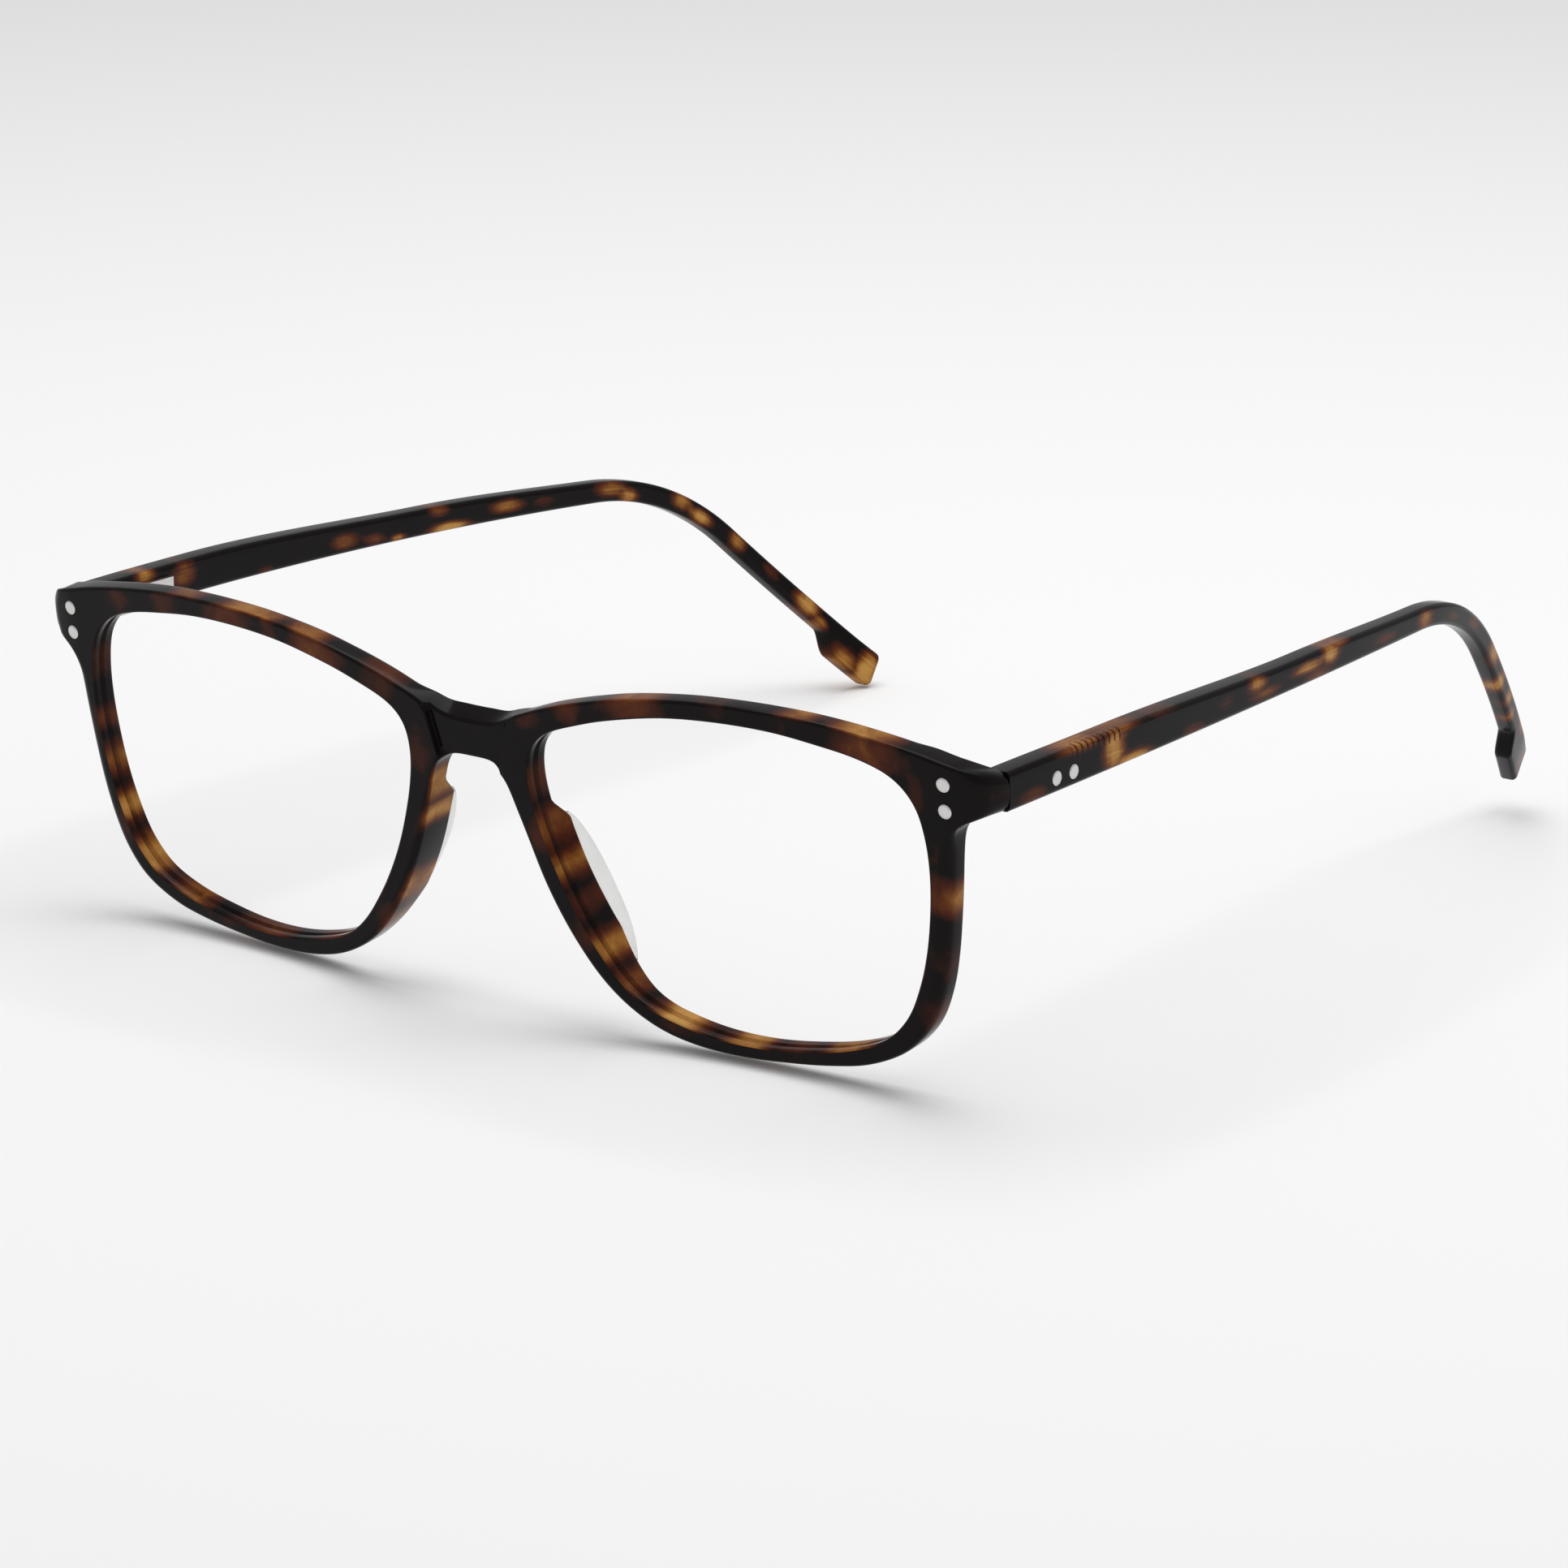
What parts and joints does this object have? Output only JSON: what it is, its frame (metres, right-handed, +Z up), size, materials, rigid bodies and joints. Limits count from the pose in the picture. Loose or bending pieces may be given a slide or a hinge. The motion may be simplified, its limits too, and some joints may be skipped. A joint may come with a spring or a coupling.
{
  "type": "eyeglasses frame",
  "caption": "Full-rim tortoiseshell acetate eyeglasses frame without lenses, with riveted hinges and folding temples.",
  "frame": {"origin": "middle of the footprint of the open frame, on the surface that it stands on", "axes": "+X across the front towards the wearer's left, +Y from the front back along the temples, +Z up"},
  "size_m": [0.1386, 0.1434, 0.0428],
  "materials": {
    "acetate_front": "polished tortoiseshell acetate, near black with amber patches",
    "acetate_temple": "polished tortoiseshell acetate, near black with amber patches",
    "pad": "clear polished acetate",
    "rivet": "satin nickel silver",
    "hinge_metal": "satin nickel silver",
    "screw": "polished steel",
    "core_wire": "drawn nickel silver wire"
  },
  "bodies": {
    "front": {"front_frame": "acetate_front", "nose_pad_right": "pad", "nose_pad_left": "pad", "front_rivet_right_upper": "rivet", "front_rivet_right_lower": "rivet", "front_rivet_left_upper": "rivet", "front_rivet_left_lower": "rivet", "hinge_front_right": "hinge_metal", "hinge_front_left": "hinge_metal", "hinge_screw_right": "screw", "hinge_screw_left": "screw"},
    "temple_arm_right": {"temple_right": "acetate_temple", "temple_core_right": "core_wire", "hinge_temple_right": "hinge_metal", "temple_rivet_right_fore": "rivet", "temple_rivet_right_aft": "rivet"},
    "temple_arm_left": {"temple_left": "acetate_temple", "temple_core_left": "core_wire", "hinge_temple_left": "hinge_metal", "temple_rivet_left_fore": "rivet", "temple_rivet_left_aft": "rivet"}
  },
  "joints": [
    {"name": "temple_fold_right", "type": "hinge", "parent": "front", "child": "temple_arm_right", "pos_m": [0.064, -0.06218, 0.03556], "axis": [0, -0.014, 0.9999], "range_deg": [0, 83]},
    {"name": "temple_fold_left", "type": "hinge", "parent": "front", "child": "temple_arm_left", "pos_m": [-0.064, -0.06218, 0.03556], "axis": [0, -0.014, -0.9999], "range_deg": [0, 74]}
  ]
}
